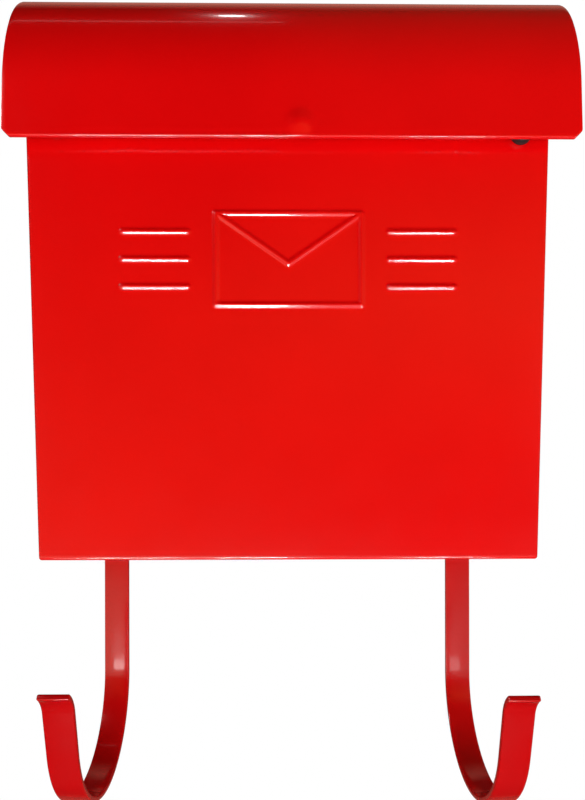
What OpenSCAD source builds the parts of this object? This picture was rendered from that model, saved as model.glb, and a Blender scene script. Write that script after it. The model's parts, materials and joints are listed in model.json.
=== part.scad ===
// Wall-hung mailbox of folded sheet steel, with a hinged roll-over lid and two
// strap hooks under the box that hold a rolled newspaper.
// +Z is up, the wall is the plane y = 0 and the box faces -Y.
// The origin is the centre of the four wall holes, on the back of the box.

/* [Sheet] */
// Thickness of the steel sheet of the box and the lid
sheet_t = 1; // [0.6:0.1:1.2]
// Outside radius of the folded corners
bend_r = 1.5; // [1.5:0.5:4]
// Gap left between sheets that lie against each other
lap_gap = 0.1; // [0.05:0.05:0.3]
// Width of the ledges that are turned in under the floor
ledge_w = 10; // [8:1:14]

/* [Body] */
// Width of the body where the lid's lower edge crosses it
body_top_w = 223; // [180:1:290]
// Width of the body across its bottom
body_bottom_w = 213; // [176:1:280]
// Depth of the body, from the front face to the wall
body_d = 94; // [78:1:140]
// Height of the front face that shows below the lid
face_h = 176.5; // [146:0.5:240]
// Height of the front panel that is tucked behind the lid
tuck_h = 26; // [14:1:34]
// Depth of the back panel's side flanges
back_flange = 14; // [12:1:20]

/* [Emblem] */
// Width of the whole embossed emblem
emblem_w = 144; // [110:1:170]
// Height of the emblem, to the middle of its outer strokes
emblem_h = 39; // [30:1:60]
// Distance of the emblem's centre below the lid's lower edge
emblem_drop = 48.5; // [30:0.5:90]
// Width of an embossed stroke
bead_w = 3; // [2.4:0.1:5]
// Height of an embossed stroke
bead_h = 0.8; // [0.4:0.1:1]

/* [Lid] */
// Distance that the lid reaches past the body on each side
lid_overhang = 9.5; // [5:0.5:20]
// Distance by which the lid sits right of the body's centre
lid_shift = 1.9; // [0:0.1:3]
// Distance of the lid's lower edge in front of the front face
lid_gap = 6.7; // [5.5:0.1:12]
// Lean of the lid's front away from vertical, in degrees
lid_lean = 2.6; // [0:0.1:8]
// Length of the straight skirt above the lid's lower edge
skirt_h = 24; // [18:0.5:36]
// Radius of the gentle curve above the skirt
brow_r = 79; // [50:1:110]
// Angle turned by the gentle curve, in degrees
brow_turn = 24; // [10:1:30]
// Radius of the tight curve over the top
crown_r = 49; // [36:1:52]
// Slope of the flat roof, in degrees
roof_slope = 5; // [2:0.5:9]
// Height of the folded hem along the lid's lower edge
hem_h = 8; // [6:0.5:12]
// Cut taken off the lid's two lower corners
corner_cut = 3.2; // [0:0.1:6]
// Gap between the lid's inside and the edges of the side walls
lid_clear = 1.6; // [1:0.1:3]
// Radius of the ball that presses the thumb dimple
dimple_r = 16; // [12:1:24]
// Height by which the thumb dimple stands out
dimple_h = 1.2; // [0.6:0.1:2]
// Distance of the thumb dimple to the right of the lid's centre
dimple_shift = 2.7; // [0:0.1:10]

/* [Hooks] */
// Width of the strap that the hooks are bent from
strap_w = 13.5; // [10:0.5:16]
// Thickness of the strap
strap_t = 2.5; // [2:0.1:4]
// Gap between a strap and the back panel's side flange
strap_gap = 1.05; // [0.4:0.05:10]
// Depth of the centre of the hook's bend below the body
hook_drop = 73; // [60:1:110]
// Radius of the hook's bend, to the middle of the strap
hook_r = 45.7; // [30:0.1:50]
// Lean of the hook's front leg away from vertical, in degrees
hook_lean = 14; // [0:1:25]
// Length of the straight front leg
hook_leg = 21.4; // [12:0.1:40]
// Radius of the curled tip
tip_r = 14; // [10:1:40]
// Angle turned by the curled tip, in degrees
tip_turn = 45; // [10:1:60]
// Distance by which the right hook hangs lower than the left one
hook_right_low = 1.5; // [0:0.1:3]
// Length of strap that lies inside the body
hook_tail = 60; // [52:1:90]

/* [Hinges] */
// Distance between the centres of the two hinges
hinge_span = 140; // [110:1:160]
// Width of a hinge leaf
leaf_w = 40; // [30:1:50]
// Height of a hinge leaf
leaf_h = 18; // [15:1:20]
// Thickness of a hinge leaf
leaf_t = 1.2; // [1:0.1:1.4]
// Outside radius of the hinge knuckles
knuckle_r = 2.5; // [2.3:0.1:3]
// Width of the middle knuckle
knuckle_w = 14; // [10:1:18]
// Radius of the hinge pin
pin_r = 1.25; // [1:0.05:1.4]
// Running clearance round the hinge pin
pin_clear = 0.05; // [0.02:0.01:0.08]

/* [Fixings] */
// Distance between the wall holes, across
wall_x = 150; // [120:1:160]
// Distance between the wall holes, up and down
wall_z = 150; // [110:1:150]
// Height of the lower wall holes above the bottom of the body
wall_low = 60; // [55:1:70]
// Radius of a wall hole
wall_hole_r = 3; // [2:0.1:4]
// Radius of a rivet's shank
rivet_r = 2; // [1.5:0.1:2]
// Radius of a rivet's domed head
rivet_head_r = 3.5; // [3:0.1:4]
// Height of a rivet's domed head
rivet_head_h = 1.5; // [1:0.1:2]
// Clearance round a rivet's shank
rivet_clear = 0.1; // [0.05:0.01:0.2]
// Radius of a drain hole
drain_r = 2.5; // [1.5:0.1:4]
// Radius of a lid bumper
bumper_r = 4.5; // [3:0.1:6]
// Gap between a bumper and the closed lid
bumper_gap = 0.4; // [0.3:0.1:1]
// Distance from the edge of the body to a bumper's centre
bumper_in = 12.5; // [10:0.5:20]
// Height of a bumper's centre above the lid's lower edge
bumper_up = 4.6; // [3:0.1:5]
// Extra height of the left bumper, which sits out of sight behind the hem
bumper_left_up = 2.6; // [0:0.1:3]

/* [Hidden] */
eps = 0.01;
far = 400;
$fn = 64;

// Heights, from the origin at the centre of the wall holes
base_z = -(wall_low + wall_z / 2);
lid_z = base_z + face_h;
front_top = lid_z + tuck_h;
emblem_mid = lid_z - emblem_drop;
lid_w = body_top_w + 2 * lid_overhang;
floor_top = base_z + 2 * sheet_t;
// Lean of the side walls, in degrees
side_lean = atan((body_top_w - body_bottom_w) / 2 / face_h);
// Back face of the body's front panel and front face of its back panel
front_in = -body_d + sheet_t;
back_in = -sheet_t;

// The hinge line: its distance above the roof's underside leaves the knuckles free
knuckle_gap = 0.3;
leaf_joggle = 0.8;
roof_over = knuckle_r + knuckle_gap + sheet_t;
hinge_y = -(sheet_t + knuckle_r + leaf_joggle);
hinge_x = hinge_span / 2;
// Tangent directions of the lid's outline, from the skirt to the roof
skirt_dir = 90 - lid_lean;
brow_dir = skirt_dir - brow_turn;
arc_steps = 10;
// Inward normal of a line that runs in direction a, as [y, z]
function inward(a) = [sin(a), -cos(a)];
skirt_foot = [-(body_d + lid_gap), lid_z];
brow_start = skirt_foot + skirt_h * [cos(skirt_dir), sin(skirt_dir)];
brow_mid = brow_start + brow_r * inward(skirt_dir);
crown_start = brow_mid - brow_r * inward(brow_dir);
crown_mid = crown_start + crown_r * inward(brow_dir);
roof_start = crown_mid - crown_r * inward(roof_slope);
roof_end_y = hinge_y - roof_over * sin(roof_slope);
roof_len = (roof_end_y - roof_start[0]) / cos(roof_slope);
roof_end = roof_start + roof_len * [cos(roof_slope), sin(roof_slope)];
hinge_z = roof_end[1] - roof_over * cos(roof_slope);
back_top = hinge_z - 1;

// The lid's outline in the y-z plane, moved inward by a distance
function lid_line(inset) = concat(
    [skirt_foot + inset * inward(skirt_dir)],
    [for (i = [0 : arc_steps])
        brow_mid - (brow_r - inset) * inward(skirt_dir - brow_turn * i / arc_steps)],
    [for (i = [1 : 2 * arc_steps])
        crown_mid - (crown_r - inset) * inward(brow_dir - (brow_dir - roof_slope) * i / (2 * arc_steps))],
    [roof_end + inset * inward(roof_slope)]
);
function reversed(list) = [for (i = [len(list) - 1 : -1 : 0]) list[i]];

bumper_x = body_top_w / 2 - bumper_in;
bumper_z = lid_z + bumper_up;
// Inside of the hem at the bumper's height, and the bumper's height up to it
hem_y = skirt_foot[0] + bumper_up / tan(skirt_dir) + 2 * sheet_t / sin(skirt_dir);
bumper_h = -body_d - hem_y - bumper_gap;
// Lowest side rivet above the bottom of the body, and highest one below its top
side_rivet_low = 40;
side_rivet_high = 58;
side_rivet_pitch = (back_top - base_z - side_rivet_low - side_rivet_high) / 2;
side_rivet_heights = [for (i = [0 : 2]) side_rivet_low + i * side_rivet_pitch];
side_rivet_y = sheet_t + back_flange / 2;
hook_rivet_heights = [18, hook_tail - 16];
hook_x = body_bottom_w / 2 - 2 * sheet_t - lap_gap - strap_gap - strap_w / 2;
// Half the width of the floor's rear flange, which ends short of the hooks
flange_half = hook_x - strap_w / 2 - 8;
flange_rivet_in = 20;
flange_rivet_up = 6;
leaf_rivet_x = leaf_w * 0.3;
leaf_rivet_drop = leaf_h * 0.62;
flush_flare = 0.8;
flange_stack = 2 * sheet_t + lap_gap;
hook_stack = sheet_t + strap_t + lap_gap;
hinge_stack = sheet_t + leaf_t + lap_gap;
outer_knuckle_w = (leaf_w - knuckle_w) / 2 - knuckle_gap;
outer_knuckle_x = (leaf_w - outer_knuckle_w) / 2;

// The hook's middle line: bend, front leg and curled tip
hook_steps = 40;
tip_steps = 6;
hook_y = back_in - lap_gap - strap_t / 2;
bend_turn = 180 - hook_lean;
bend_mid = [hook_y - hook_r, base_z - hook_drop];
bend_end = bend_mid - hook_r * [cos(hook_lean), sin(hook_lean)];
leg_end = bend_end + hook_leg * [-sin(hook_lean), cos(hook_lean)];
tip_mid = leg_end - tip_r * [cos(hook_lean), sin(hook_lean)];

// Side view of a hook's strap: one face of it, moved outward from its middle line
function hook_line(out) = concat(
    [[hook_y + out, base_z + hook_tail]],
    [for (i = [0 : hook_steps])
        bend_mid + (hook_r + out) * [cos(bend_turn * i / hook_steps), -sin(bend_turn * i / hook_steps)]],
    [for (i = [0 : tip_steps])
        let (a = hook_lean + tip_turn * i / tip_steps)
        tip_mid + (tip_r - out) * [cos(a), sin(a)]]
);

// Turns an outline drawn in the y-z plane into a bar along X, centred on x = 0
module along_x(w) {
    rotate([90, 0, 90]) linear_extrude(w, center = true) children();
}

// Copies its children to the left, mirrored
module both_sides() {
    children();
    mirror([1, 0, 0]) children();
}

// Places a child on the right side wall's outer face, its Z axis pointing out of the wall
module on_side(h, y) {
    translate([body_bottom_w / 2, y, base_z])
        rotate([0, side_lean, 0])
            translate([0, 0, h])
                rotate([0, 90, 0]) children();
}

// Right half of a folded channel's outline: a web along X and a leg along Y
module half_channel(half_w, leg, web_y, dir, r) {
    difference() {
        rounded_half(half_w, leg, web_y, dir, r);
        translate([0, dir * sheet_t]) rounded_half(half_w - sheet_t, leg + 1, web_y, dir, r - sheet_t);
    }
}

// Half of a rectangle whose one corner is rounded, reaching past the middle
module rounded_half(half_w, leg, web_y, dir, r) {
    over = 30;
    far_y = web_y + dir * leg;
    translate([-over, min(web_y + dir * r, far_y)]) square([half_w + over, leg - r]);
    translate([-over, min(web_y, web_y + dir * r)]) square([half_w + over - r, r]);
    translate([half_w - r, web_y + dir * r]) circle(r);
}

// Stands an outline up along the right side wall's lean, from the bottom of the body
module leaning(h) {
    intersection() {
        translate([body_bottom_w / 2, 0, base_z])
            rotate([0, side_lean, 0])
                translate([-body_bottom_w / 2, 0, -20]) linear_extrude(h + 40) children();
        translate([0, -far / 2, base_z]) cube([far, far, h]);
    }
}

// Side view of the body: its rim follows the lid's inside and clears the hinge line
module side_outline() {
    rim = lid_line(sheet_t + lid_clear);
    hinge_relief = 9;
    corner = bend_r + 0.5;
    intersection() {
        polygon(concat(rim, [[0, back_top], [0, base_z], [rim[0][0], base_z]]));
        difference() {
            union() {
                translate([-body_d, base_z]) square([body_d, front_top - base_z]);
                translate([-body_d + corner, base_z]) square([body_d - corner, far]);
            }
            translate([-hinge_relief, back_top]) square([hinge_relief + 1, far]);
        }
    }
}

// One straight stroke of the emblem with round ends
module stroke(from, to, w) {
    run = norm(to - from);
    turn = atan2(to[1] - from[1], to[0] - from[0]);
    translate(from) rotate(turn) {
        translate([0, -w / 2]) square([run, w]);
        circle(w / 2);
        translate([run, 0]) circle(w / 2);
    }
}

// The emblem: an envelope with a pointed flap between two stacks of three bars
module emblem(w) {
    half_h = emblem_h / 2;
    env = 31;
    bar_in = 43;
    bar_out = (emblem_w - bead_w) / 2;
    bar_pitch = half_h * 0.6;
    flap_drop = emblem_h * 0.55;
    for (s = [-1, 1]) {
        stroke([-env, s * half_h], [env, s * half_h], w);
        stroke([s * env, -half_h], [s * env, half_h], w);
        stroke([s * env, half_h], [0, half_h - flap_drop], w);
        for (row = [-1 : 1])
            stroke([s * bar_in, row * bar_pitch], [s * bar_out, row * bar_pitch], w);
    }
}

// Stands the emblem up in a plane parallel to the front face
module on_front(y, depth) {
    translate([0, y + depth, emblem_mid]) rotate([90, 0, 0]) linear_extrude(depth) children();
}

module drain_holes() {
    drain_x = body_bottom_w / 2 - 44;
    for (x = [-drain_x, drain_x], y = [0.3, 0.7])
        translate([x, -body_d * y, base_z - 1]) cylinder(r = drain_r, h = 4 * sheet_t);
}

module bumper_holes() {
    for (spot = [[bumper_x, bumper_z], [-bumper_x, bumper_z + bumper_left_up]])
        translate([spot[0], front_in + 1, spot[1]])
            rotate([90, 0, 0]) cylinder(r = rivet_r + rivet_clear, h = sheet_t + 2);
}

// Folded front and sides, with ledges turned in along the bottom
module front_shell() {
    top_h = roof_end[1] - base_z;
    color("#d90b12") difference() {
        union() {
            intersection() {
                both_sides() leaning(top_h) half_channel(body_bottom_w / 2, body_d, -body_d, 1, bend_r);
                along_x(far) side_outline();
            }
            both_sides() intersection() {
                leaning(sheet_t) rounded_half(body_bottom_w / 2, body_d, -body_d, 1, bend_r);
                translate([0, 0, base_z]) ledge_plan();
            }
            on_front(-body_d - bead_h, bead_h + eps) emblem(bead_w);
        }
        on_front(front_in - bead_h, bead_h + eps) emblem(bead_w - 2 * bead_h);
        bumper_holes();
        both_sides() for (h = side_rivet_heights) on_side(h, -side_rivet_y) rivet_hole();
        floor_rivet_spots() rivet_hole();
    }
}

// Right half of the ledges in plan, cut back at the rear where the hooks pass
module ledge_plan() {
    rear_relief = 16;
    linear_extrude(sheet_t) difference() {
        translate([0, -body_d]) square([body_bottom_w / 2, body_d - rear_relief]);
        translate([-1, -body_d + ledge_w]) square([body_bottom_w / 2 - ledge_w + 1, body_d]);
    }
}

// Hole for a rivet, long enough for any stack of sheets, along Z
module rivet_hole() {
    translate([0, 0, -6 * sheet_t]) cylinder(r = rivet_r + rivet_clear, h = 10 * sheet_t);
}

// Rivet along Z through a stack that ends at z = 0, with its domed head above
module rivet(stack) {
    tail_r = rivet_head_r - 0.7;
    translate([0, 0, -stack]) cylinder(r = rivet_r, h = stack + eps);
    dome(rivet_head_r, rivet_head_h);
    translate([0, 0, -stack]) mirror([0, 0, 1]) dome(tail_r, rivet_head_h);
}

// Rivet whose tail is hammered flush into a countersink at the back of the stack
module flush_rivet(stack) {
    translate([0, 0, -stack]) cylinder(r = rivet_r, h = stack + eps);
    dome(rivet_head_r, rivet_head_h);
    translate([0, 0, -stack]) cylinder(r1 = rivet_r + flush_flare, r2 = rivet_r, h = flush_flare);
}

module flush_hole(stack) {
    translate([0, 0, -stack - 1]) cylinder(r = rivet_r + rivet_clear, h = stack + 2);
    translate([0, 0, -stack - eps])
        cylinder(r1 = rivet_r + flush_flare + rivet_clear, r2 = rivet_r + rivet_clear, h = flush_flare);
}

// Spherical cap of a given base radius and height, standing on z = 0
module dome(r, h) {
    ball = (r * r + h * h) / (2 * h);
    intersection() {
        translate([0, 0, h - ball]) sphere(ball);
        cylinder(r = r, h = h);
    }
}

module floor_rivet_spots() {
    for (x = [-1, 1], y = [0.25, 0.65])
        translate([x * (body_bottom_w / 2 - ledge_w / 2 - sheet_t), -body_d * y, floor_top]) children();
}

// Places a child with its Z axis pointing from the wall to the front, on a face at depth y
module facing_front(x, y, h) {
    translate([x, y, base_z + h]) rotate([90, 0, 0]) children();
}

module flange_rivet_spots(stack) {
    for (s = [-1 : 1])
        facing_front(s * (flange_half - flange_rivet_in), -stack, 2 * sheet_t + flange_rivet_up) children();
}

module hook_rivet_spots(stack) {
    for (x = [-hook_x, hook_x], h = hook_rivet_heights) facing_front(x, -stack, h) children();
}

module hinge_rivet_spots(stack) {
    for (x = [-1, 1], side = [-1, 1])
        translate([x * hinge_x + side * leaf_rivet_x, -stack, hinge_z - leaf_rivet_drop])
            rotate([90, 0, 0]) children();
}

// Back panel with side flanges that lie inside the side walls
module back_panel() {
    half_w = body_bottom_w / 2 - sheet_t - lap_gap;
    foot_h = 6;
    color("#c00a10") difference() {
        union() {
            both_sides() intersection() {
                leaning(back_top - base_z) half_channel(half_w, back_flange, 0, -1, bend_r);
                above(floor_top + 1);
            }
            both_sides() intersection() {
                leaning(foot_h) translate([-1, -sheet_t]) square([half_w + 1 - bend_r, sheet_t]);
                translate([0, -far / 2, base_z]) cube([far, far, foot_h]);
            }
        }
        for (x = [-1, 1], h = [wall_low, wall_low + wall_z])
            facing_front(x * wall_x / 2, 1, h) cylinder(r = wall_hole_r, h = sheet_t + 2);
        both_sides() for (h = side_rivet_heights) on_side(h, -side_rivet_y) rivet_hole();
        flange_rivet_spots(flange_stack) flush_hole(flange_stack);
        hook_rivet_spots(hook_stack) flush_hole(hook_stack);
        hinge_rivet_spots(hinge_stack) flush_hole(hinge_stack);
    }
}

// Everything above a height
module above(z) {
    translate([-far / 2, -far / 2, z]) cube([far, far, far]);
}

// Floor plate that lies on the ledges, with a rear flange turned up along the back panel
module floor_panel() {
    half_w = body_bottom_w / 2 - sheet_t - 2 * lap_gap;
    front_y = front_in + lap_gap;
    rear_y = back_in - lap_gap;
    flange_up = 12;
    notch_d = strap_t + 0.6;
    notch_gap = 0.5;
    color("#c00a10") difference() {
        union() {
            translate([0, 0, base_z + sheet_t]) linear_extrude(sheet_t) difference() {
                polygon([
                    [-half_w + bend_r, front_y], [half_w - bend_r, front_y],
                    [half_w, front_y + bend_r], [half_w, rear_y],
                    [-half_w, rear_y], [-half_w, front_y + bend_r]
                ]);
                for (s = [-1, 1])
                    translate([s * hook_x - (s > 0 ? strap_w / 2 + notch_gap : strap_w), rear_y - notch_d])
                        square([1.5 * strap_w + notch_gap, notch_d + 1]);
            }
            translate([-flange_half, rear_y - sheet_t, base_z + sheet_t])
                cube([2 * flange_half, sheet_t, flange_up]);
        }
        drain_holes();
        floor_rivet_spots() rivet_hole();
        flange_rivet_spots(flange_stack) rivet_hole();
    }
}

// Strap bent to a J, from its tail inside the body to the curled tip, hung lower by a distance
module hook(low) {
    color("#c9101a") difference() {
        translate([0, 0, -low])
            along_x(strap_w) polygon(concat(hook_line(strap_t / 2), reversed(hook_line(-strap_t / 2))));
        for (h = hook_rivet_heights) facing_front(0, -hook_stack, h) rivet_hole();
    }
}

module hook_right() {
    translate([hook_x, 0, 0]) hook(hook_right_low);
}

module hook_left() {
    translate([-hook_x, 0, 0]) hook(0);
}

module hook_rivets() {
    color("#b8b8b8") hook_rivet_spots(hook_stack) flush_rivet(hook_stack);
}

module flange_rivets() {
    color("#b8b8b8") flange_rivet_spots(flange_stack) flush_rivet(flange_stack);
}

module floor_rivets() {
    color("#b8b8b8") floor_rivet_spots() rivet(2 * sheet_t);
}

module side_rivets() {
    color("#b8b8b8")
        both_sides() for (h = side_rivet_heights) on_side(h, -side_rivet_y) rivet(2 * sheet_t + lap_gap);
}

// Rubber button on the front panel that the closed lid's hem rests against
module bumper(x, z) {
    stem_out = 1.6;
    straight_h = bumper_h * 0.7;
    color("#2a2a2c") translate([x, -body_d, z]) rotate([90, 0, 0]) {
        cylinder(r = bumper_r, h = straight_h);
        translate([0, 0, straight_h])
            cylinder(r1 = bumper_r, r2 = bumper_r * 0.75, h = bumper_h - straight_h);
        translate([0, 0, -sheet_t - stem_out]) cylinder(r = rivet_r, h = sheet_t + stem_out + eps);
        translate([0, 0, -sheet_t - stem_out])
            cylinder(r1 = rivet_r, r2 = rivet_r + flush_flare, h = stem_out - lap_gap);
    }
}

module lid_bumper_right() {
    bumper(bumper_x, bumper_z);
}

module lid_bumper_left() {
    bumper(-bumper_x, bumper_z + bumper_left_up);
}

// Knuckle along X, centred on the hinge line
module knuckle(x, w, r) {
    translate([x - w / 2, hinge_y, hinge_z]) rotate([0, 90, 0]) cylinder(r = r, h = w);
}

// Fixed leaf on the back panel with the two outer knuckles
module hinge_leaf(x) {
    rear_y = back_in - lap_gap;
    color("#b0b0b4") difference() {
        union() {
            translate([x - leaf_w / 2, rear_y - leaf_t, hinge_z - leaf_h]) cube([leaf_w, leaf_t, leaf_h]);
            for (s = [-1, 1]) knuckle(x + s * outer_knuckle_x, outer_knuckle_w, knuckle_r);
        }
        translate([x, 0, 0]) middle_relief();
        knuckle(x, leaf_w + 2, pin_r + pin_clear);
        hinge_rivet_spots(hinge_stack) rivet_hole();
    }
}

// Room for the middle knuckle between the two outer ones
module middle_relief() {
    r = knuckle_r + knuckle_gap;
    w = knuckle_w + 2 * knuckle_gap;
    translate([-w / 2, hinge_y - r, hinge_z - r]) cube([w, 4 * r, 3 * r]);
}

module hinge_leaf_right() {
    hinge_leaf(hinge_x);
}

module hinge_leaf_left() {
    hinge_leaf(-hinge_x);
}

// Hinge pin with a flat head at both ends
module hinge_pin(x) {
    head_w = 1;
    head_r = knuckle_r - 0.4;
    head_gap = 0.05;
    color("#d0d0d4") {
        knuckle(x, leaf_w + 2 * head_w, pin_r);
        for (s = [-1, 1]) knuckle(x + s * (leaf_w / 2 + head_w / 2 + head_gap), head_w, head_r);
    }
}

module hinge_pin_right() {
    hinge_pin(hinge_x);
}

module hinge_pin_left() {
    hinge_pin(-hinge_x);
}

module hinge_rivets() {
    color("#b8b8b8") hinge_rivet_spots(hinge_stack) flush_rivet(hinge_stack);
}

// Puts a child on the roof's outside, straight above the hinge line, its Z axis pointing out
// and its Y axis running back along the roof
module on_roof(x) {
    translate([x, roof_end[0], roof_end[1]]) rotate([roof_slope, 0, 0]) children();
}

module lid_rivet_spots() {
    for (x = [-1, 1], side = [-1, 1])
        on_roof(x * hinge_x + side * leaf_rivet_x) translate([0, -leaf_rivet_drop, 0]) children();
}

// Lid: skirt, brow, crown and roof bent from one sheet, with a hem along the lower edge
module lid() {
    reach = 5;
    sunk = 0.6;
    color("#d90b12") difference() {
        union() {
            difference() {
                translate([lid_shift, 0, 0]) along_x(lid_w) lid_outline();
                dimple_ball(dimple_r - sheet_t);
            }
            difference() {
                intersection() {
                    dimple_ball(dimple_r);
                    translate([lid_shift + dimple_shift - dimple_r, skirt_foot[0] - reach, lid_z])
                        cube([2 * dimple_r, reach + sunk, 2 * hem_h]);
                }
                dimple_ball(dimple_r - sheet_t);
            }
        }
        translate([lid_shift, 0, lid_z]) both_sides() translate([lid_w / 2, 0, 0]) rotate([0, 45, 0])
            cube([corner_cut * sqrt(2), far, far], center = true);
        lid_rivet_spots() rivet_hole();
    }
}

// Ball that presses the thumb dimple out of the skirt
module dimple_ball(r) {
    up = 6.6;
    foot = skirt_foot[0] + up / tan(skirt_dir);
    translate([lid_shift + dimple_shift, foot + dimple_r - dimple_h, lid_z + up]) sphere(r, $fn = 96);
}

module lid_outline() {
    inner = lid_line(sheet_t);
    hem = 2 * sheet_t;
    up = [cos(skirt_dir), sin(skirt_dir)];
    foot_in = skirt_foot + hem * inward(skirt_dir);
    polygon(concat(lid_line(0), reversed(inner)));
    polygon([skirt_foot, foot_in, foot_in + hem_h * up, skirt_foot + hem_h * up]);
}

// Leaf under the roof: a plate whose tongue carries the middle knuckle
module lid_leaf(x) {
    clear = knuckle_r + knuckle_gap;
    tongue_half = knuckle_w / 2 - knuckle_gap;
    side_w = leaf_w / 2;
    color("#b0b0b4") difference() {
        union() {
            on_roof(x) translate([-leaf_w / 2, -leaf_h, -sheet_t - lap_gap - leaf_t])
                cube([leaf_w, leaf_h, leaf_t]);
            knuckle(x, knuckle_w, knuckle_r);
        }
        for (s = [-1, 1]) on_roof(x)
            translate([s * (tongue_half + side_w / 2) - side_w / 2, -clear, -sheet_t - 1.5 * leaf_t])
                cube([side_w, 2 * clear, 2 * leaf_t]);
        knuckle(x, leaf_w + 2, pin_r + pin_clear);
        lid_rivet_spots() rivet_hole();
    }
}

module lid_leaf_right() {
    lid_leaf(hinge_x);
}

module lid_leaf_left() {
    lid_leaf(-hinge_x);
}

module lid_rivets() {
    color("#b8b8b8") lid_rivet_spots() rivet(sheet_t + leaf_t + lap_gap);
}

front_shell();
back_panel();
floor_panel();
hook_left();
hook_right();
hook_rivets();
side_rivets();
floor_rivets();
flange_rivets();
lid_bumper_left();
lid_bumper_right();
hinge_leaf_left();
hinge_leaf_right();
hinge_pin_left();
hinge_pin_right();
hinge_rivets();
lid();
lid_leaf_left();
lid_leaf_right();
lid_rivets();
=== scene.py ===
# %% [markdown]
# # A wall mailbox of folded red steel
# The box is bent from sheet steel, sprayed with a glossy red enamel, and closed by
# a lid that rolls over its top. Two strap hooks under it hold a newspaper.
# A CAD model already fixes every size and both bodies, the box and its moving lid.
# This lesson keeps the CAD's hidden panels and small fixings. It makes the lid, the
# front, the hooks and the rubber bumpers again, with the soft folds, pressed lines
# and rounded edges that make painted steel look real.

# %% Load the fixed frame
import json
import math

import bmesh
import bpy
import numpy as np
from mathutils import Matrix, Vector

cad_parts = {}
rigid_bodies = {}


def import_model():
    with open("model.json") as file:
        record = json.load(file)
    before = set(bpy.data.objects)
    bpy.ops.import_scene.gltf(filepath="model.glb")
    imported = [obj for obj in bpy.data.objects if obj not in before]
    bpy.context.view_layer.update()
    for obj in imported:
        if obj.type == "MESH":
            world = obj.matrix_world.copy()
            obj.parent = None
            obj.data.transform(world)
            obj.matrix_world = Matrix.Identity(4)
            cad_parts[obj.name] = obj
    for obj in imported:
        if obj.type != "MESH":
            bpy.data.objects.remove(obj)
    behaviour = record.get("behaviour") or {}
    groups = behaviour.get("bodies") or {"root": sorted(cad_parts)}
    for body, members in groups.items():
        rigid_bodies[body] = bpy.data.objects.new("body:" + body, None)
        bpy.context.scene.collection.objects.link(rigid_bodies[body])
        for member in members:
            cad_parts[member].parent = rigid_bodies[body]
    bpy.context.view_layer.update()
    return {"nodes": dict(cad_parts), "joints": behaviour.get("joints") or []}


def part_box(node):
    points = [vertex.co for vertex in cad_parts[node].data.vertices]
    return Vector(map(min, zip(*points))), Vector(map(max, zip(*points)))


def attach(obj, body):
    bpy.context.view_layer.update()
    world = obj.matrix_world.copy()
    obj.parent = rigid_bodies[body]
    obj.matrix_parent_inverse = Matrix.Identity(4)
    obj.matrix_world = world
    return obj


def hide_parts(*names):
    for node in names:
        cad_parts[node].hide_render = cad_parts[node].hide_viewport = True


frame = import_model()

# %% [markdown]
# ## Camera
# The box is seen from straight ahead and rather close, from a height a little above
# its bottom. A level camera with a vertical shift keeps the upright edges parallel,
# so it isn't tilted upwards.

# %% Place the camera
RELIEF = 0.0008  # the emblem stands this far out of the flat front, in metres
LENS, SHIFT_ASIDE, SHIFT_UP = 28.85, 0.0044, 0.1
CAMERA_ASIDE, CAMERA_AWAY, CAMERA_UP = -0.0029, 0.2728, 0.034
LEVEL, ROLL, TURN = (math.radians(degrees) for degrees in (90, 0.1, -0.6))

front_face_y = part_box("front_shell")[0].y + RELIEF
body_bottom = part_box("front_shell")[0].z
camera_data = bpy.data.cameras.new("camera")
camera_data.lens = LENS
camera_data.shift_x = SHIFT_ASIDE
camera_data.shift_y = SHIFT_UP
camera = bpy.data.objects.new("camera", camera_data)
camera.location = (CAMERA_ASIDE, front_face_y - CAMERA_AWAY, body_bottom + CAMERA_UP)
camera.rotation_euler = (LEVEL, ROLL, TURN)
bpy.context.scene.collection.objects.link(camera)
bpy.context.scene.camera = camera
print("camera stands", round(-camera.location.y, 3), "m from the wall")

# %% [markdown]
# ## One way to write shader maths
# A material is a graph of nodes. Wiring it by hand takes many lines, so one small
# class wraps an output socket: sums and products of wires add Math nodes, and one
# method adds any other node from its settings and its inputs.


# %% The wire class
class Wire:
    """An output socket that can be added, scaled and plugged into other nodes."""

    def __init__(self, tree, socket=None):
        self.tree = tree
        self.socket = socket

    def add(self, kind, settings=None, inputs=None, out=0):
        node = self.tree.nodes.new(kind)
        for name, value in (settings or {}).items():
            if name == "stops":
                self.set_stops(node.color_ramp, value)
            else:
                setattr(node, name, value)
        for key, value in (inputs or {}).items():
            if isinstance(value, Wire):
                self.tree.links.new(value.socket, node.inputs[key])
            else:
                node.inputs[key].default_value = value
        return Wire(self.tree, node.outputs[out] if node.outputs else None)

    def set_stops(self, ramp, stops):
        while len(ramp.elements) < len(stops):
            ramp.elements.new(0.5)
        for element, (place, colour) in zip(ramp.elements, stops):
            element.position = place
            element.color = colour

    def math(self, operation, *values):
        return self.add("ShaderNodeMath", {"operation": operation}, dict(enumerate(values)))

    def __add__(self, other):
        return self.math("ADD", self, other)

    def __sub__(self, other):
        return self.math("SUBTRACT", self, other)

    def __rsub__(self, other):
        return self.math("SUBTRACT", other, self)

    def __mul__(self, other):
        return self.math("MULTIPLY", self, other)

    __radd__ = __add__
    __rmul__ = __mul__

    def clamp(self):
        return self.math("MINIMUM", self.math("MAXIMUM", self, 0.0), 1.0)


# %% Helpers for materials
def start_material(name):
    """An empty material and the wire that gives each point's place on its piece."""
    material = bpy.data.materials.new(name)
    material.use_nodes = True
    material.node_tree.nodes.clear()
    return material, Wire(material.node_tree).add("ShaderNodeTexCoord", out="Object")


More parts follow.
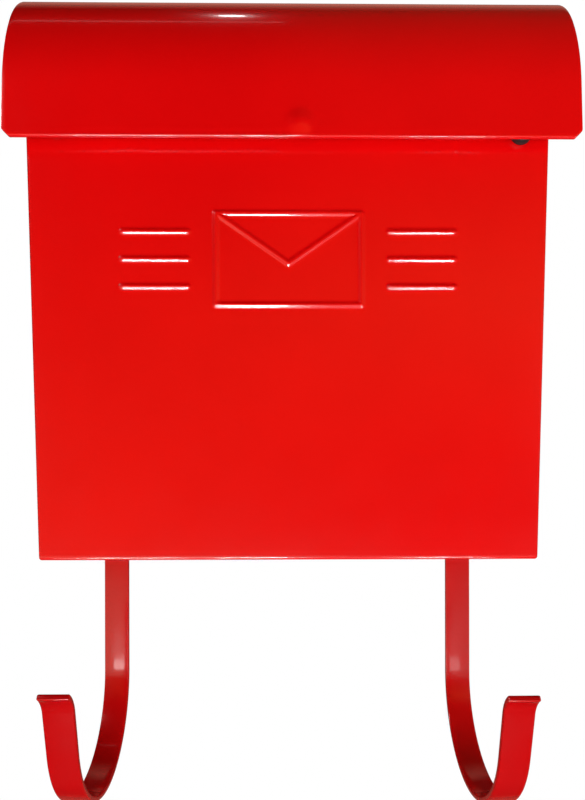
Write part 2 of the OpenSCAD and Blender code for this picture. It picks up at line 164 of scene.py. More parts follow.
def noise(place, size, detail=2.0, roughness=0.5):
    """Noise between 0 and 1 whose blotches are about size metres across."""
    inputs = {"Vector": place, "Scale": 1 / size, "Detail": detail, "Roughness": roughness}
    return place.add("ShaderNodeTexNoise", {}, inputs, out=0)


def bumped(place, height, depth, below=None):
    """A normal that leans as if height, from 0 to 1, stood depth metres high."""
    inputs = {"Height": height, "Distance": depth}
    if below:
        inputs["Normal"] = below
    return place.add("ShaderNodeBump", {}, inputs)


def mixed(place, amount, first, second):
    """A colour between two colours."""
    # a Mix node has its colour sockets at places 6 and 7, and its colour output at 2
    inputs = {0: amount, 6: first, 7: second}
    return place.add("ShaderNodeMix", {"data_type": "RGBA"}, inputs, out=2)


def finish_material(place, **sockets):
    """Adds the surface shader. Socket names are written with _ for each space."""
    inputs = {name.replace("_", " "): value for name, value in sockets.items()}
    shader = place.add("ShaderNodeBsdfPrincipled", {}, inputs)
    place.add("ShaderNodeOutputMaterial", {}, {"Surface": shader})


print("wires can", ", ".join(name for name in vars(Wire) if not name.startswith("_")))

# %% [markdown]
# ## Red enamel
# The steel is powder coated: the powder melts into a thick glossy skin that never
# lies quite flat. Its ripple is called orange peel, a millimetre or two across and
# a few thousandths high. A finer speckle and a slow waviness of the sheet itself
# come on top. All three are bumps, because they only steer reflections. A coat
# layer over the red gives the sharp gloss, and faint dust and handling make the
# roughness uneven. The hooks get a darker copy of the red, a painted shade for the
# dimmer light that falls on them under the box, and their peel is coarser.


# %% Mix the enamel
DEEP_RED, BRIGHT_RED = (0.68, 0.001, 0.002, 1), (0.86, 0.0016, 0.0024, 1)
# the hooks' two reds are a painted shade: darker copies of the box's red, for the dimmer light
# under it
SHADED_STRAP_DEEP_RED, SHADED_STRAP_BRIGHT_RED = (0.43, 0.001, 0.002, 1), (0.56, 0.0016, 0.0024, 1)
# how wide each kind of unevenness is, and how high its bumps stand, in metres
PATCH, SMEAR, WAVE, RIPPLE, SPECK = 0.05, 0.012, 0.035, 0.0016, 0.0005
WAVE_HIGH, PEEL_HIGH, SPECK_HIGH = 0.00012, 0.000022, 0.0000008
STRAP_PEEL_HIGH, RIVET_PEEL_HIGH = 0.00006, 0.000006


def enamel(name, deep=DEEP_RED, bright=BRIGHT_RED, peel=PEEL_HIGH):
    """Glossy coated red. The rivets get a lower peel, or their small heads look rough."""
    material, place = start_material(name)
    patches = noise(place, PATCH, 3.0)
    speckle = noise(place, SPECK, 2.0)
    tone = (patches * 0.7 + speckle * 0.5).clamp()
    smears = noise(place, SMEAR, 4.0, 0.65)
    waves = bumped(place, noise(place, WAVE, 1.0), WAVE_HIGH)
    ripple = bumped(place, noise(place, RIPPLE, 2.0), peel, waves)
    grain = bumped(place, speckle, SPECK_HIGH, ripple)
    finish_material(
        place,
        Base_Color=mixed(place, tone, deep, bright),
        Roughness=0.13 + 0.08 * smears,
        Coat_Weight=0.75 + 0.2 * patches,
        Coat_Roughness=0.05,
        IOR=1.48,
        Normal=grain,
    )
    return material


red_enamel = enamel("red_enamel")
# the strap red is painted shade, a darker copy of the enamel standing in for less light
red_strap = enamel("red_strap", SHADED_STRAP_DEEP_RED, SHADED_STRAP_BRIGHT_RED, STRAP_PEEL_HIGH)
print("enamel nodes:", len(red_enamel.node_tree.nodes))

# %% [markdown]
# ## Zinc, pin steel and rubber
# The hinge leaves are plated with zinc, which shows as large pale crystals under a
# satin skin. The pins are drawn wire, with fine lines that run along them, and the
# bumpers are matt moulded rubber with a dusty bloom. Each is one short function of
# the same kind as the enamel.


# %% Mix the small finishes
CRYSTALS_PER_METRE = 260.0
ZINC_SCRATCH_HIGH, DRAWN_LINE_HIGH, RUBBER_GRAIN_HIGH = 0.000006, 0.000004, 0.00001


def zinc_plate():
    """Plated steel with large pale crystals and a haze of fine scratches."""
    material, place = start_material("zinc_plate")
    settings = {"feature": "F1"}
    inputs = {"Vector": place, "Scale": CRYSTALS_PER_METRE, "Randomness": 1.0}
    crystals = place.add("ShaderNodeTexVoronoi", settings, inputs, out="Distance")
    haze = noise(place, 0.006, 4.0, 0.7)
    scratches = noise(place, 0.0007, 3.0)
    finish_material(
        place,
        Base_Color=mixed(place, crystals, (0.48, 0.5, 0.52, 1), (0.72, 0.73, 0.75, 1)),
        Metallic=1.0,
        Roughness=0.28 + 0.2 * haze + 0.08 * crystals,
        Normal=bumped(place, scratches, ZINC_SCRATCH_HIGH),
    )
    return material


def pin_steel():
    """Drawn wire: noise stretched along X makes lines that run along the pins."""
    material, place = start_material("pin_steel")
    squeeze = {"operation": "MULTIPLY"}
    drawn = place.add("ShaderNodeVectorMath", squeeze, {0: place, 1: (0.04, 1.0, 1.0)})
    lines = noise(drawn, 0.0003, 3.0)
    finish_material(
        place,
        Base_Color=mixed(place, lines, (0.42, 0.43, 0.45, 1), (0.62, 0.63, 0.65, 1)),
        Metallic=1.0,
        Roughness=0.22 + 0.15 * lines,
        Normal=bumped(place, lines, DRAWN_LINE_HIGH),
    )
    return material


def rubber():
    """Matt moulded rubber with a grey bloom of dust."""
    material, place = start_material("black_rubber")
    bloom = noise(place, 0.003, 4.0, 0.7)
    finish_material(
        place,
        Base_Color=mixed(place, bloom, (0.004, 0.004, 0.004, 1), (0.015, 0.015, 0.016, 1)),
        Roughness=0.45 + 0.25 * bloom,
        Normal=bumped(place, noise(place, 0.0004, 2.0), RUBBER_GRAIN_HIGH),
    )
    return material


zinc = zinc_plate()
steel = pin_steel()
black_rubber = rubber()
red_rivet = enamel("red_rivet", peel=RIVET_PEEL_HIGH)
print("finishes:", ", ".join(m.name for m in bpy.data.materials if m.users == 0))

# %% [markdown]
# ## Helpers for bent sheet
# Every large piece here is a skin made by moving a row of points through space.
# `skin` joins such rows into a closed tube of quads and caps its two ends, so every
# piece is a solid without holes. `soft_edges` rounds the edges that a shear leaves
# sharp, with a Bevel modifier that acts on steep edges only, so folds and pressings
# stay as drawn. `spread` says where the rows stand: close together where a shape
# changes fast, and far apart where it is plain.

# %% Join rows of points into a skin
MM = 0.001


def skin(name, rows, material):
    """A tube through rows of points, each row a closed ring, with both ends capped."""
    mesh = bmesh.new()
    made = [[mesh.verts.new(point) for point in row] for row in rows]
    count = len(rows[0])
    for lower, upper in zip(made, made[1:]):
        for i in range(count):
            j = (i + 1) % count
            mesh.faces.new((lower[i], lower[j], upper[j], upper[i]))
    mesh.faces.new(made[0][::-1])
    mesh.faces.new(made[-1])
    bmesh.ops.recalc_face_normals(mesh, faces=mesh.faces)
    for face in mesh.faces:
        face.smooth = True
    data = bpy.data.meshes.new(name)
    mesh.to_mesh(data)
    mesh.free()
    data.materials.append(material)
    piece = bpy.data.objects.new(name, data)
    bpy.context.scene.collection.objects.link(piece)
    return piece


# %% Round edges and space out rows
def soft_edges(piece, width, segments=3, angle=50):
    """Rounds the edges sharper than an angle, and leaves the flats flat."""
    bevel = piece.modifiers.new("soft_edges", "BEVEL")
    bevel.width = width
    bevel.segments = segments
    bevel.limit_method = "ANGLE"
    bevel.angle_limit = math.radians(angle)
    bevel.use_clamp_overlap = False
    bevel.harden_normals = True


def spread(start, *stops):
    """Numbers from start through each stop (end, step), evenly spaced up to each end."""
    values = [start]
    for end, step in stops:
        # a whole number of steps that comes out a hair too large isn't rounded up
        count = max(1, math.ceil(abs(end - values[-1]) / step - 1e-6))
        values += list(np.linspace(values[-1], end, count + 1)[1:])
    return values


print("fine, then coarse:", [round(float(v), 2) for v in spread(0, (1, 0.25), (3, 1))])

# %% [markdown]
# ## The lid's outline
# Seen from the side the lid is one line: a straight skirt that leans back a little,
# a gentle curve, a tight curve over the top and a flat roof that climbs slowly to
# the hinge. Straight pieces and arcs that meet in the same direction leave no kink,
# so the reflections run through. The lid's skin, and the rim of the box under it,
# both follow this line at their own distance.

# %% Draw the lid line
SHEET = 1 * MM
BODY_DEPTH = -front_face_y
LID_GAP = 6.7 * MM
FACE_HEIGHT = 176.5 * MM
SKIRT_LEAN, SKIRT = 2.6, 24 * MM
BROW_R, BROW_TURN = 79 * MM, 24
CROWN_R, ROOF_SLOPE = 49 * MM, 5
lid_z = body_bottom + FACE_HEIGHT
lid_foot = np.array([-BODY_DEPTH - LID_GAP, lid_z])


def along(degrees):
    """Direction [y, z] at an angle above +Y."""
    return np.array([math.cos(math.radians(degrees)), math.sin(math.radians(degrees))])


def inward(degrees):
    """Direction into the lid from a line that runs at an angle."""
    return along(degrees - 90)


def lid_path(inset, end_y, skirt_steps=(0,), arc_step=1.5):
    """Points [y, z] from the skirt's foot to the roof's end, moved in by inset."""
    skirt_dir = 90 - SKIRT_LEAN
    brow_dir = skirt_dir - BROW_TURN
    points = [lid_foot + inset * inward(skirt_dir) + s * along(skirt_dir) for s in skirt_steps]
    brow_mid = lid_foot + SKIRT * along(skirt_dir) + BROW_R * inward(skirt_dir)
    for turn in spread(0, (BROW_TURN, arc_step)):
        points.append(brow_mid - (BROW_R - inset) * inward(skirt_dir - turn))
    crown_mid = brow_mid + (CROWN_R - BROW_R) * inward(brow_dir)
    for turn in spread(0, (brow_dir - ROOF_SLOPE, arc_step))[1:]:
        points.append(crown_mid - (CROWN_R - inset) * inward(brow_dir - turn))
    roof_start = points[-1]
    run = (end_y - roof_start[0]) / math.cos(math.radians(ROOF_SLOPE))
    for share in (0.5, 0.98, 1.0):  # flat, so two more rows and its end are enough
        points.append(roof_start + share * run * along(ROOF_SLOPE))
    return points


hinge = Vector(frame["joints"][0]["pos_m"])
roof_end_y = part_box("lid")[1].y
print("hinge line at y, z, mm:", [round(1000 * v, 2) for v in (hinge.y, hinge.z)])
print("roof line ends at z, mm:", round(1000 * lid_path(0, hinge.y)[-1][1], 2))

# %% [markdown]
# ## The lid
# One sheet makes the lid. Its lower edge is folded back on itself into a hem, which
# hides the sharp edge and gives the bright line along the bottom. A cross-section
# of the sheet, hem included, is a closed ring of points, and the ring is repeated
# at many places across the width. Two details bend that simple tube: the lower
# corners are clipped at 45 degrees, and a thumb dimple is pressed out of the skirt
# near its middle. Rings stand closer together round the dimple, where the surface
# needs them, and the last rings at each end shrink along a quarter circle, which
# takes the sharpness off the sheet's cut edge.

# %% Write down the lid's cross-section
HEM = 8 * MM
CORNER_CUT, CORNER_ZONE = 3.2 * MM, 9 * MM
DIMPLE_UP, DIMPLE_R, DIMPLE_OUT = 6.6 * MM, 7.4 * MM, 1.2 * MM
DIMPLE_SHIFT, LID_EDGE_R = 2.7 * MM, 0.3 * MM
FINE_STEP, END_STEP, WIDE_STEP = 0.7 * MM, 2 * MM, 12 * MM
# up the skirt: fine steps as high as the dimple reaches, then coarse ones to the bend
UP_THE_SKIRT = ((14 * MM, FINE_STEP), (SKIRT - 2 * MM, 3 * MM))
lid_mid = (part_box("lid")[0].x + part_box("lid")[1].x) / 2
lid_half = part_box("lid")[1].x - lid_mid


def lid_ring(shrink=0.0):
    """The sheet's cross-section: outside, down the skirt, round the fold, up inside."""
    outside = lid_path(shrink, roof_end_y, spread(0.9 * MM, *UP_THE_SKIRT))
    skirt_up, skirt_in = along(90 - SKIRT_LEAN), inward(90 - SKIRT_LEAN)
    fold_mid = lid_foot + SHEET * skirt_in + SHEET * skirt_up
    fold = []
    for turn in spread(0, (180, 22.5))[1:-1]:
        fold.append(fold_mid - (SHEET - shrink) * (math.cos(math.radians(turn)) * skirt_in
                                                   + math.sin(math.radians(turn)) * skirt_up))
    hem_steps = spread(SHEET, (HEM - shrink, FINE_STEP))
    hem = [lid_foot + (2 * SHEET - shrink) * skirt_in + s * skirt_up for s in hem_steps]
    inside = lid_path(SHEET - shrink, roof_end_y, spread(HEM - shrink, *UP_THE_SKIRT))
    return outside[::-1] + fold + hem + inside


print("lid section:", len(lid_ring()), "points")


# %% Press the dimple and clip the corners
def dimple(x, z):
    """How far the thumb dimple pushes the sheet out at a point."""
    far_off = math.hypot(x - DIMPLE_SHIFT, z - lid_z - DIMPLE_UP) / DIMPLE_R
    return DIMPLE_OUT * math.cos(min(far_off, 1.0) * math.pi / 2) ** 2


def lid_point(x, y, z):
    """A point of the plain tube, with the clipped corner and the dimple put in."""
    clip_zone = 8 * MM
    edge = lid_half - max(0.0, CORNER_CUT - (z - lid_z))
    beyond = abs(x) - (lid_half - clip_zone)
    if beyond > 0:
        squeeze = (edge - lid_half + clip_zone) / clip_zone
        x = math.copysign(lid_half - clip_zone + beyond * squeeze, x)
    return lid_mid + x, y - dimple(x, z), z


print("dimple, mm:", round(dimple(DIMPLE_SHIFT, lid_z + DIMPLE_UP) / MM, 2))

# %% Sweep the lid across its width
flat_end = lid_half - LID_EDGE_R
stations = spread(
    -flat_end,
    (CORNER_ZONE - lid_half, END_STEP),
    (DIMPLE_SHIFT - DIMPLE_R, WIDE_STEP),
    (DIMPLE_SHIFT + DIMPLE_R, FINE_STEP),
    (lid_half - CORNER_ZONE, WIDE_STEP),
    (flat_end, END_STEP),
)
lid_rings = [(x, lid_ring()) for x in stations]
for turn in (30, 60, 90):
    reach = flat_end + LID_EDGE_R * math.sin(math.radians(turn))
    ring = lid_ring(LID_EDGE_R * (1 - math.cos(math.radians(turn))))
    lid_rings = [(-reach, ring), *lid_rings, (reach, ring)]
lid_rows = [[lid_point(x, *point) for point in ring] for x, ring in lid_rings]
lid_skin = skin("lid_sheet", lid_rows, red_enamel)
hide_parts("lid")
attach(lid_skin, "lid")
print("lid:", len(lid_rows), "rings of", len(ring), "points")

# %% [markdown]
# ## The pressed emblem
# A small envelope between two stacks of bars is pressed out of the front, and tells
# what the box is for. A press tool leaves a rounded bead, highest along its middle.
# So the emblem is kept as a list of strokes, and the height of the sheet at any
# point comes from its distance to the nearest stroke. This gives round ends and
# clean joins without modelling each bead.

# %% Draw the emblem's strokes
EMBLEM_W, EMBLEM_H, EMBLEM_DROP = 144 * MM, 39 * MM, 48.5 * MM
BEAD_HALF, BEAD_HIGH = 1.75 * MM, RELIEF
emblem_z = lid_z - EMBLEM_DROP


def emblem_strokes():
    """Each stroke as (x, z, x, z), from its start to its end."""
    half_h, fold_low = EMBLEM_H / 2, EMBLEM_H * 0.05
    bar_up = 0.6 * half_h
    paper, bar_in, bar_out = 31 * MM, 43 * MM, (EMBLEM_W - 3 * MM) / 2
    strokes = []
    for s in (-1, 1):
        strokes.append((-paper, s * half_h, paper, s * half_h))
        strokes.append((s * paper, -half_h, s * paper, half_h))
        strokes.append((s * paper, half_h, 0, -fold_low))
        for level in (-bar_up, 0, bar_up):
            strokes.append((s * bar_in, level, s * bar_out, level))
    return strokes


def bead_height(x, z):
    """Height of the pressed sheet over arrays of points."""
    nearest = np.full(x.shape, 1.0)
    for x0, z0, x1, z1 in emblem_strokes():
        run = np.array([x1 - x0, z1 - z0])
        share = ((x - x0) * run[0] + (z - emblem_z - z0) * run[1]) / run.dot(run)
        share = share.clip(0, 1)
        off = np.hypot(x - x0 - share * run[0], z - emblem_z - z0 - share * run[1])
        nearest = np.minimum(nearest, off)
    return BEAD_HIGH * np.cos(np.minimum(nearest / BEAD_HALF, 1) * np.pi / 2) ** 2


print("emblem strokes:", len(emblem_strokes()))

# %% [markdown]
# ## The folded front and sides
# Front and sides are one sheet, folded round two upright bends and turned in at the
# bottom as a ledge for the floor. A grid describes it: its columns stand round the
# fold, and its rows run up from the ledge, round the bottom bend and up the wall to
# the rim. Each column has its own top, low across the front where the sheet ends
# behind the lid, and high on the sides where the rim follows the lid. Columns and
# rows are fine only where the emblem is.

# %% Set the folds and the columns
BEND_R, BOTTOM_R = 1.5 * MM, 1.2 * MM
LEDGE, REAR_RELIEF = 10 * MM, 16 * MM
TUCK, FRONT_CORNER, HINGE_RELIEF = 26 * MM, 2 * MM, 9 * MM
LID_CLEAR, SHELL_EDGE_R = 1.6 * MM, 0.22 * MM
bottom_half, rim_half = 106.5 * MM, 111.5 * MM
wall_lean = (rim_half - bottom_half) / FACE_HEIGHT
back_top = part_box("back_panel")[1].z


def columns():
    """Each column as (part, side, value), from the rear right round to the rear left."""
    # value is y on a wall, the angle in a bend and the share of the half width in front
    reach = 74 * MM  # just past the emblem's ends, where the fine columns stop
    wall = spread(0, (-1 * MM, 1 * MM), (-8 * MM, 2.5 * MM), (-BODY_DEPTH + 7 * MM, 4 * MM),
                  (-BODY_DEPTH + BEND_R, 1 * MM))
    bend = spread(90, (0, 9))[1:-1]
    front = spread(1.0, (reach / bottom_half, 0.05), (0, 0.5 * MM / bottom_half))
    right = [("wall", 1, y) for y in wall] + [("bend", 1, a) for a in bend]
    right += [("front", 1, t) for t in front]
    left = [(part, -1, value) for part, side, value in right[-2::-1]]
    return right + left


fold_columns = columns()
print("front grid:", len(fold_columns), "columns")


# %% Say where a column stands and ends
def top_of(part, y):
    """Height of the sheet's top edge over a point of the plan."""
    low_top = lid_z + TUCK
    if part != "wall" or y < -BODY_DEPTH + FRONT_CORNER:
        return low_top
    rim = lid_path(SHEET + LID_CLEAR, 0)
    height = np.interp(y, [p[0] for p in rim], [p[1] for p in rim])
    return min(height, back_top) if y > -HINGE_RELIEF else height


def plan(part, side, value, z):
    """Point and outward normal [x, y] of the sheet's outside at a height."""
    half = bottom_half + wall_lean * (z - body_bottom)
    if part == "wall":
        return np.array([side * half, value]), np.array([side, 0.0])
    if part == "front":
        return np.array([side * value * (half - BEND_R), -BODY_DEPTH]), np.array([0.0, -1.0])
    turn = math.radians(value)
    normal = np.array([side * math.sin(turn), -math.cos(turn)])
    return np.array([side * (half - BEND_R), -BODY_DEPTH + BEND_R]) + BEND_R * normal, normal


def ledge_reach(part, value):
    """How far the ledge runs in beyond the bottom bend: mitred, and cut at the rear."""
    stub = 0.3 * MM
    if part == "bend":
        return stub
    if part == "wall" and value > -REAR_RELIEF:
        return stub
    past_bend = value + BODY_DEPTH - BEND_R if part == "wall" else (1 - value) * bottom_half
    return min(LEDGE - BOTTOM_R, stub + past_bend)


emblem_rows = spread(emblem_z - 22 * MM, (emblem_z + 22 * MM, 0.5 * MM))
wall_rows = spread(body_bottom + BOTTOM_R, (body_bottom + 2.2 * MM, 1 * MM),
                   (emblem_rows[0], 9 * MM))[:-1] + emblem_rows
wall_rows += spread(emblem_rows[-1], (lid_z + 12 * MM, 6 * MM))[1:]
print("front grid:", len(wall_rows), "wall rows")

# %% [markdown]
# ## Fold it
# A press brake bends the real sheet, and the sheet keeps its thickness all round
# each bend. So every point of the outside is stored with the direction that the
# sheet faces there. The beads push the front out, and the inside is the outside
# moved back by one thickness. Together they close into one shell with real edges at
# the rim and the ledge. A Solidify modifier could do this too, but here the facing
# directions are known exactly, so the bends stay even.

# %% Fold the sheet
UP = np.array([0.0, 0.0, 1.0])


def column_line(part, side, value):
    """Outside points and normals of one column, from the ledge's edge to the rim."""
    at, normal = plan(part, side, value, body_bottom)
    out = np.array([*normal, 0.0])
    mid = np.array([*at, body_bottom + BOTTOM_R]) - BOTTOM_R * out
    reach = ledge_reach(part, value)
    line = [(mid - BOTTOM_R * UP - share * reach * out, -UP) for share in (1.0, 0.9, 0.5)]
    for turn in spread(90, (0, 15)):
        lean = math.radians(turn)
        facing = math.cos(lean) * out - math.sin(lean) * UP
        line.append((mid + BOTTOM_R * facing, facing))
    top, below_top = top_of(part, at[1]), 1 * MM
    last = wall_rows[-1]
    upper = [last + share * (top - below_top - last) for share in (0.25, 0.5, 0.75, 1.0)]
    for z in [*wall_rows[1:], *upper, top]:
        point, normal = plan(part, side, value, z)
        line.append((np.array([*point, z]), np.array([*normal, 0.0])))
    return line


lines = [column_line(*column) for column in fold_columns]
outside = np.array([[point for point, normal in line] for line in lines])
normals = np.array([[normal for point, normal in line] for line in lines])
on_front = np.array([part == "front" for part, side, value in fold_columns])
relief = bead_height(outside[..., 0], outside[..., 2]) * on_front[:, None]
outside[..., 1] -= relief
inside = outside - SHEET * normals
shell_rings = np.concatenate([outside, inside[:, ::-1]], axis=1).tolist()
shell = skin("folded_shell", shell_rings, red_enamel)
soft_edges(shell, SHELL_EDGE_R)
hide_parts("front_shell")
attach(shell, "box")
print("shell grid:", outside.shape[:2], "highest bead, mm:", round(relief.max() / MM, 2))

# %% [markdown]
# ## Strap hooks
# A hook is one flat strap: a tail riveted inside the box, a leg that drops behind
# it, a wide bend, a front leg and a tip that curls outward so the paper slides in.
# The strap is a rounded rectangle swept along that line, and its two ends close
# with smaller and smaller rings. Mill-rolled strap has round corners, and they
# catch a thin line of light down each side.

# %% Draw the strap's line
STRAP_T, HOOK_R, HOOK_DROP = 2.5 * MM, 45.7 * MM, 73 * MM
HOOK_LEAN, HOOK_LEG, TIP_R, TIP_TURN = 14, 21.4 * MM, 14 * MM, 45
STRAP_CORNER, END_R = 0.7 * MM, 0.6 * MM


def hook_path(tail):
    """Middle of the strap as (point [y, z], direction in degrees), from tail to tip."""
    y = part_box("hook_left")[1].y - STRAP_T / 2
    hung_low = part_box("hook_left")[1].z - tail
    bend_mid = np.array([y - HOOK_R, body_bottom - HOOK_DROP - hung_low])
    leg_end = bend_mid[1] + 1 * MM  # the bend itself starts 1 mm lower
    path = [(np.array([y, z]), -90) for z in spread(tail, (leg_end, 12 * MM))]
    for turn in spread(0, (180 - HOOK_LEAN, 3)):
        path.append((bend_mid + HOOK_R * along(-turn), -90 - turn))
    heading = 90 + HOOK_LEAN
    leg_start = path[-1][0]
    for s in spread(0, (HOOK_LEG, 6 * MM))[1:]:
        path.append((leg_start + s * along(heading), heading))
    tip_mid = path[-1][0] + TIP_R * along(heading + 90)
    for turn in spread(0, (TIP_TURN, 2))[1:]:
        path.append((tip_mid + TIP_R * along(heading - 90 + turn), heading + turn))
    return path


strap_line = hook_path(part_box("hook_left")[1].z)
print("strap line:", len(strap_line), "points, lowest at z, mm:",
      round(min(point[1] for point, heading in strap_line) / MM, 1))


# %% Round the strap's section and ends
def strap_section(width, thick, corner, steps=5):
    """Points of a rounded rectangle, centred on 0, 0."""
    points = []
    for quarter in range(4):
        cx = (width / 2 - corner) * (1 if quarter in (0, 3) else -1)
        cy = (thick / 2 - corner) * (1 if quarter in (0, 1) else -1)
        for i in range(steps + 1):
            spot = corner * along(90 * (quarter + i / steps))
            points.append((cx + spot[0], cy + spot[1]))
    return points


def strap_end(middle_x, width, last, way, turn):
    """A shrunk ring beyond the strap's last one, so its end edges are rounded."""
    centre, heading = last
    beyond = centre + way * END_R * math.sin(math.radians(turn)) * along(heading)
    shrink = END_R * (1 - math.cos(math.radians(turn)))
    ring = strap_section(width - 2 * shrink, STRAP_T - 2 * shrink, STRAP_CORNER - shrink)
    return [(middle_x + u, *(beyond + v * along(heading - 90))) for u, v in ring]


print("strap section:", len(strap_section(1, 1, 0.1)), "points")


# %% Sweep the straps
def make_hook(name, node):
    """One strap, swept and capped with rounded ends."""
    low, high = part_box(node)
    middle_x, width = (low.x + high.x) / 2, high.x - low.x
    path = hook_path(high.z)
    rings = []
    for centre, heading in path:
        across = along(heading - 90)
        ring = strap_section(width, STRAP_T, STRAP_CORNER)
        rings.append([(middle_x + u, *(centre + v * across)) for u, v in ring])
    tail_cap = [strap_end(middle_x, width, path[0], -1, turn) for turn in (90, 60, 30)]
    tip_cap = [strap_end(middle_x, width, path[-1], 1, turn) for turn in (30, 60, 90)]
    rings = tail_cap + rings + tip_cap
    # the straps take the darker red, a painted shade
    hook = skin(name, rings, red_strap)
    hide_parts(node)
    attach(hook, "box")


make_hook("strap_hook_left", "hook_left")
make_hook("strap_hook_right", "hook_right")
straps = [piece for piece in bpy.data.objects if piece.name.startswith("strap_hook")]
print("strap corners:", {piece.name: len(piece.data.vertices) for piece in straps})

# %% [markdown]
# ## Rubber bumpers
# Two rubber buttons stop the lid from striking the front. Each is turned round an
# axis that points out of the front: a short stem, a straight side and a domed face
# with a small moulded dish in its middle.

# %% Turn the bumpers


def make_bumper(name, node):
    """One button. The profile is (share of the radius, y from the front's face)."""
    low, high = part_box(node)
    x, z = (low.x + high.x) / 2, (low.z + high.z) / 2
    radius, front = (high.x - low.x) / 2, low.y
    tall = front_face_y - front
    profile = [(0.5, 1.6 * MM + SHEET), (0.5, 0.0), (0.8, 0.0), (0.97, -0.0002), (1.0, -0.0006),
               (1.0, -0.55 * tall), (0.97, -0.75 * tall), (0.9, -0.9 * tall), (0.8, -0.97 * tall),
               (0.68, -tall), (0.5, -0.99 * tall), (0.35, -0.88 * tall), (0.15, -0.82 * tall)]
    turns = [math.radians(a) for a in range(0, 360, 10)]
    rings = []
    for share, y in profile:
        rings.append([(x + share * radius * math.cos(a), front_face_y + y,
                       z + share * radius * math.sin(a)) for a in turns])
    bumper = skin(name, rings, black_rubber)
    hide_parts(node)
    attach(bumper, "box")


for place_name in ("left", "right"):
    make_bumper("rubber_bumper_" + place_name, "lid_bumper_" + place_name)
bumper_low = [round(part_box("lid_bumper_" + side)[0].z / MM, 1) for side in ("left", "right")]
print("bumpers hang down to z, mm:", bumper_low)

# %% [markdown]
# ## Finishes for the CAD pieces that stay
# Back, floor, hinges, pins and rivets already have the right shape, so they only
# get a better finish, slot by slot, under the name that the record gives it. The
# loop goes over every CAD piece, which is simpler than leaving out the replaced ones.

# %% Repaint the kept pieces
FINISHES = {"red_enamel": red_enamel, "red_strap": red_strap, "red_rivet": red_rivet,
            "zinc_plate": zinc, "pin_steel": steel, "black_rubber": black_rubber}
for node in frame["nodes"].values():
    for material_slot in node.material_slots:
        plain = material_slot.material.name.split(".")[0]
        material_slot.material = FINISHES[plain]
print("repainted", len(frame["nodes"]), "CAD pieces")

# %% [markdown]
# ## Lights
# Gloss shows whatever stands round it, so each lamp has one of two jobs. A fill is
# broad and lights the colour, but stays out of the reflections, or its pale shape
# would lie across the red. A glint does the opposite: it is small and only
# mirrored, and draws one streak on the lid, one line along the hem or one bright
# patch on a strap. Each lamp has a switch for glossy rays and one for diffuse rays,
# and they split the two jobs. In a real room every lamp does both, and moving one
# would change everything at once.

# %% Light the studio


def area_light(name, place, aim, size, power, fill=False):
    """A rectangular lamp: a fill isn't mirrored, and a glint is nothing but mirrored."""
    data = bpy.data.lights.new(name, "AREA")
    data.shape = "RECTANGLE"
    data.size, data.size_y = size
    data.energy = power
    lamp = bpy.data.objects.new(name, data)
    lamp.location = place
    lamp.rotation_euler = (Vector(aim) - Vector(place)).to_track_quat("-Z", "Y").to_euler()
    lamp.visible_glossy = not fill
    lamp.visible_diffuse = fill
    bpy.context.scene.collection.objects.link(lamp)


middle = (0, front_face_y, -0.02)
# each lamp: its name, its place, what it points at, its sides in metres, its power in watts
area_light("low_fill", (0.35, -1.2, -0.65), (0, 0, -0.1), (1.2, 0.5), 12, fill=True)
area_light("side_fill_left", (-0.9, -0.7, -0.3), (0, -0.3, -0.1), (1.2, 1.2), 5.3, fill=True)
area_light("side_fill_right", (0.9, -0.7, -0.3), (0, -0.3, -0.1), (1.2, 1.2), 5.3, fill=True)
area_light("ceiling_lamp", (-0.1, -0.02, 1.3), (-0.1, -0.02, 0), (0.05, 0.05), 0.12)
area_light("ceiling_tube", (-0.35, -0.2, 1.3), (-0.35, -0.2, 0), (0.7, 0.02), 0.02)
area_light("window", (-1.1, -1.0, 0.9), middle, (0.06, 0.06), 4)
area_light("low_window", (1.0, -1.1, -0.9), middle, (0.06, 0.06), 4)
area_light("strap_card_left", (-0.33, -1.1, -0.53), (-0.07, 0, -0.2), (0.2, 0.05), 0.17)
area_light("strap_card_right", (0.33, -1.1, -0.53), (0.07, 0, -0.2), (0.2, 0.05), 0.06)
area_light("hem_strip", (-0.07, -1.1, -0.8), middle, (0.16, 0.05), 5)
area_light("hem_strip_left", (-0.34, -1.1, -0.8), middle, (0.26, 0.05), 4)
area_light("hem_strip_right", (0.36, -1.1, -0.8), middle, (0.2, 0.05), 3)
area_light("back_fill", (0, 1.4, 0.2), (0, 0, 0), (1.2, 1.2), 14, fill=True)

# %% [markdown]
# ## A pale floor
# The box hangs on a wall, and light comes up at it from the ground below. A round
# disc far under it, pale and faintly glowing, does that job. It is kept out of the
# reflections like a fill.

# %% Lay the floor
FLOOR_R, FLOOR_Z, FLOOR_GLOW = 0.9, -1.2, 0.6
floor_data = bpy.data.meshes.new("floor")
floor_turns = np.linspace(0, 2 * math.pi, 97)[:-1]
round_floor = [(FLOOR_R * math.cos(a), FLOOR_R * math.sin(a), FLOOR_Z) for a in floor_turns]
floor_data.from_pydata(round_floor, [], [range(len(round_floor))])
floor = bpy.data.objects.new("floor", floor_data)
floor_material, floor_place = start_material("floor")
finish_material(floor_place, Base_Color=(0.8, 0.8, 0.8, 1), Roughness=0.9,
                Emission_Color=(1, 1, 1, 1), Emission_Strength=FLOOR_GLOW)
floor_data.materials.append(floor_material)
bpy.context.scene.collection.objects.link(floor)
floor.visible_glossy = False
print("floor corners:", len(round_floor))

# %% [markdown]
# ## The room in the reflections
# Enamel under an even sky looks like dull plastic, because it has nothing to
# mirror. A modelled room would cost much work and show almost nothing, so the world
# shader paints one from the direction alone. In front is a dim room: a colour for
# each height, with two opposite corners brighter and the other two darker. Behind
# the box is a warm wall that glows high up and low down, which the curved lid and
# the bends of the straps pick up along their edges. The camera looks past the box
# at plain white, as in a cleared studio, through a switch for camera rays.

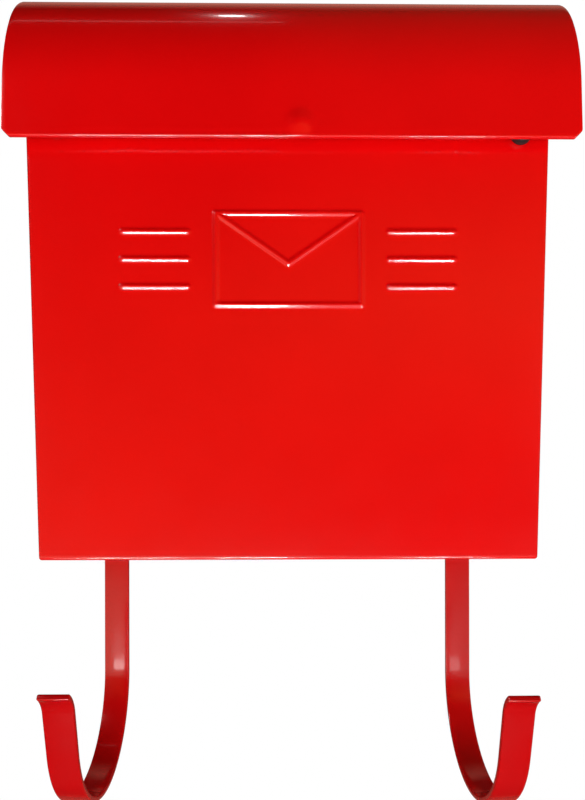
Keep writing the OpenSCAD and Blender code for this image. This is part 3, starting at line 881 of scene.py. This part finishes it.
# %% Paint the room
FRONT_ROOM = [(0.0, (0, 0, 0, 1)), (0.28, (0.002, 0.001, 0.001, 1)), (0.30, (0.10, 0.07, 0.05, 1)),
              (0.42, (0.07, 0.042, 0.03, 1)), (0.445, (0.02, 0.008, 0.003, 1)),
              (0.63, (0.035, 0.014, 0.004, 1)), (0.72, (0.004, 0.002, 0.001, 1)),
              (1.0, (0.004, 0.002, 0.001, 1))]
ROOM_STRENGTH = 6
CORNER_LEVEL, CORNER_STEEP, CORNER_EXTRA, CORNER_LEAST = 0.1, 13, 0.7, 0.45
WARM_WALL = (1.8, 0.62, 0.45, 1)
BACK_BASE, HIGH_GLOW, LOW_GLOW = 0.01, 0.32, 0.12
# where each change starts along a direction, and how steeply it grows from there
HIGH_START, HIGH_STEEP = 0.6, 6
LOW_START, LOW_STEEP = -0.2, 4
BACK_START, BACK_STEEP = 0.3, 3

world = bpy.data.worlds.new("studio")
bpy.context.scene.world = world
world.use_nodes = True
world.node_tree.nodes.clear()
sky = Wire(world.node_tree)
direction = sky.add("ShaderNodeTexCoord", out="Generated")
parts = [sky.add("ShaderNodeSeparateXYZ", {}, {"Vector": direction}, out=axis) for axis in "XYZ"]
across, away, up = parts

height = up * 0.5 + 0.5
front_room = sky.add("ShaderNodeValToRGB", {"stops": FRONT_ROOM}, {"Fac": height}, out="Color")
tilt = across * (up - CORNER_LEVEL) * CORNER_STEEP
corners = sky.math("MAXIMUM", 1 + sky.math("MINIMUM", tilt, CORNER_EXTRA), CORNER_LEAST)
strength = corners * ROOM_STRENGTH
front_wall = sky.add("ShaderNodeBackground", {}, {"Color": front_room, "Strength": strength})

high_glow = HIGH_GLOW * ((up - HIGH_START) * HIGH_STEEP).clamp()
low_glow = LOW_GLOW * ((LOW_START - up) * LOW_STEEP).clamp()
glow = BACK_BASE + high_glow + low_glow
back_wall = sky.add("ShaderNodeBackground", {}, {"Color": WARM_WALL, "Strength": glow})
behind = ((away - BACK_START) * BACK_STEEP).clamp()
room = sky.add("ShaderNodeMixShader", {}, {0: behind, 1: front_wall, 2: back_wall})

studio = sky.add("ShaderNodeBackground", {}, {"Color": (1, 1, 1, 1), "Strength": 1.0})
seen = sky.add("ShaderNodeLightPath", out="Is Camera Ray")
whole = sky.add("ShaderNodeMixShader", {}, {0: seen, 1: room, 2: studio})
sky.add("ShaderNodeOutputWorld", {}, {"Surface": whole})
bpy.context.scene.view_settings.view_transform = "Standard"
print("room nodes:", len(world.node_tree.nodes))

# %% [markdown]
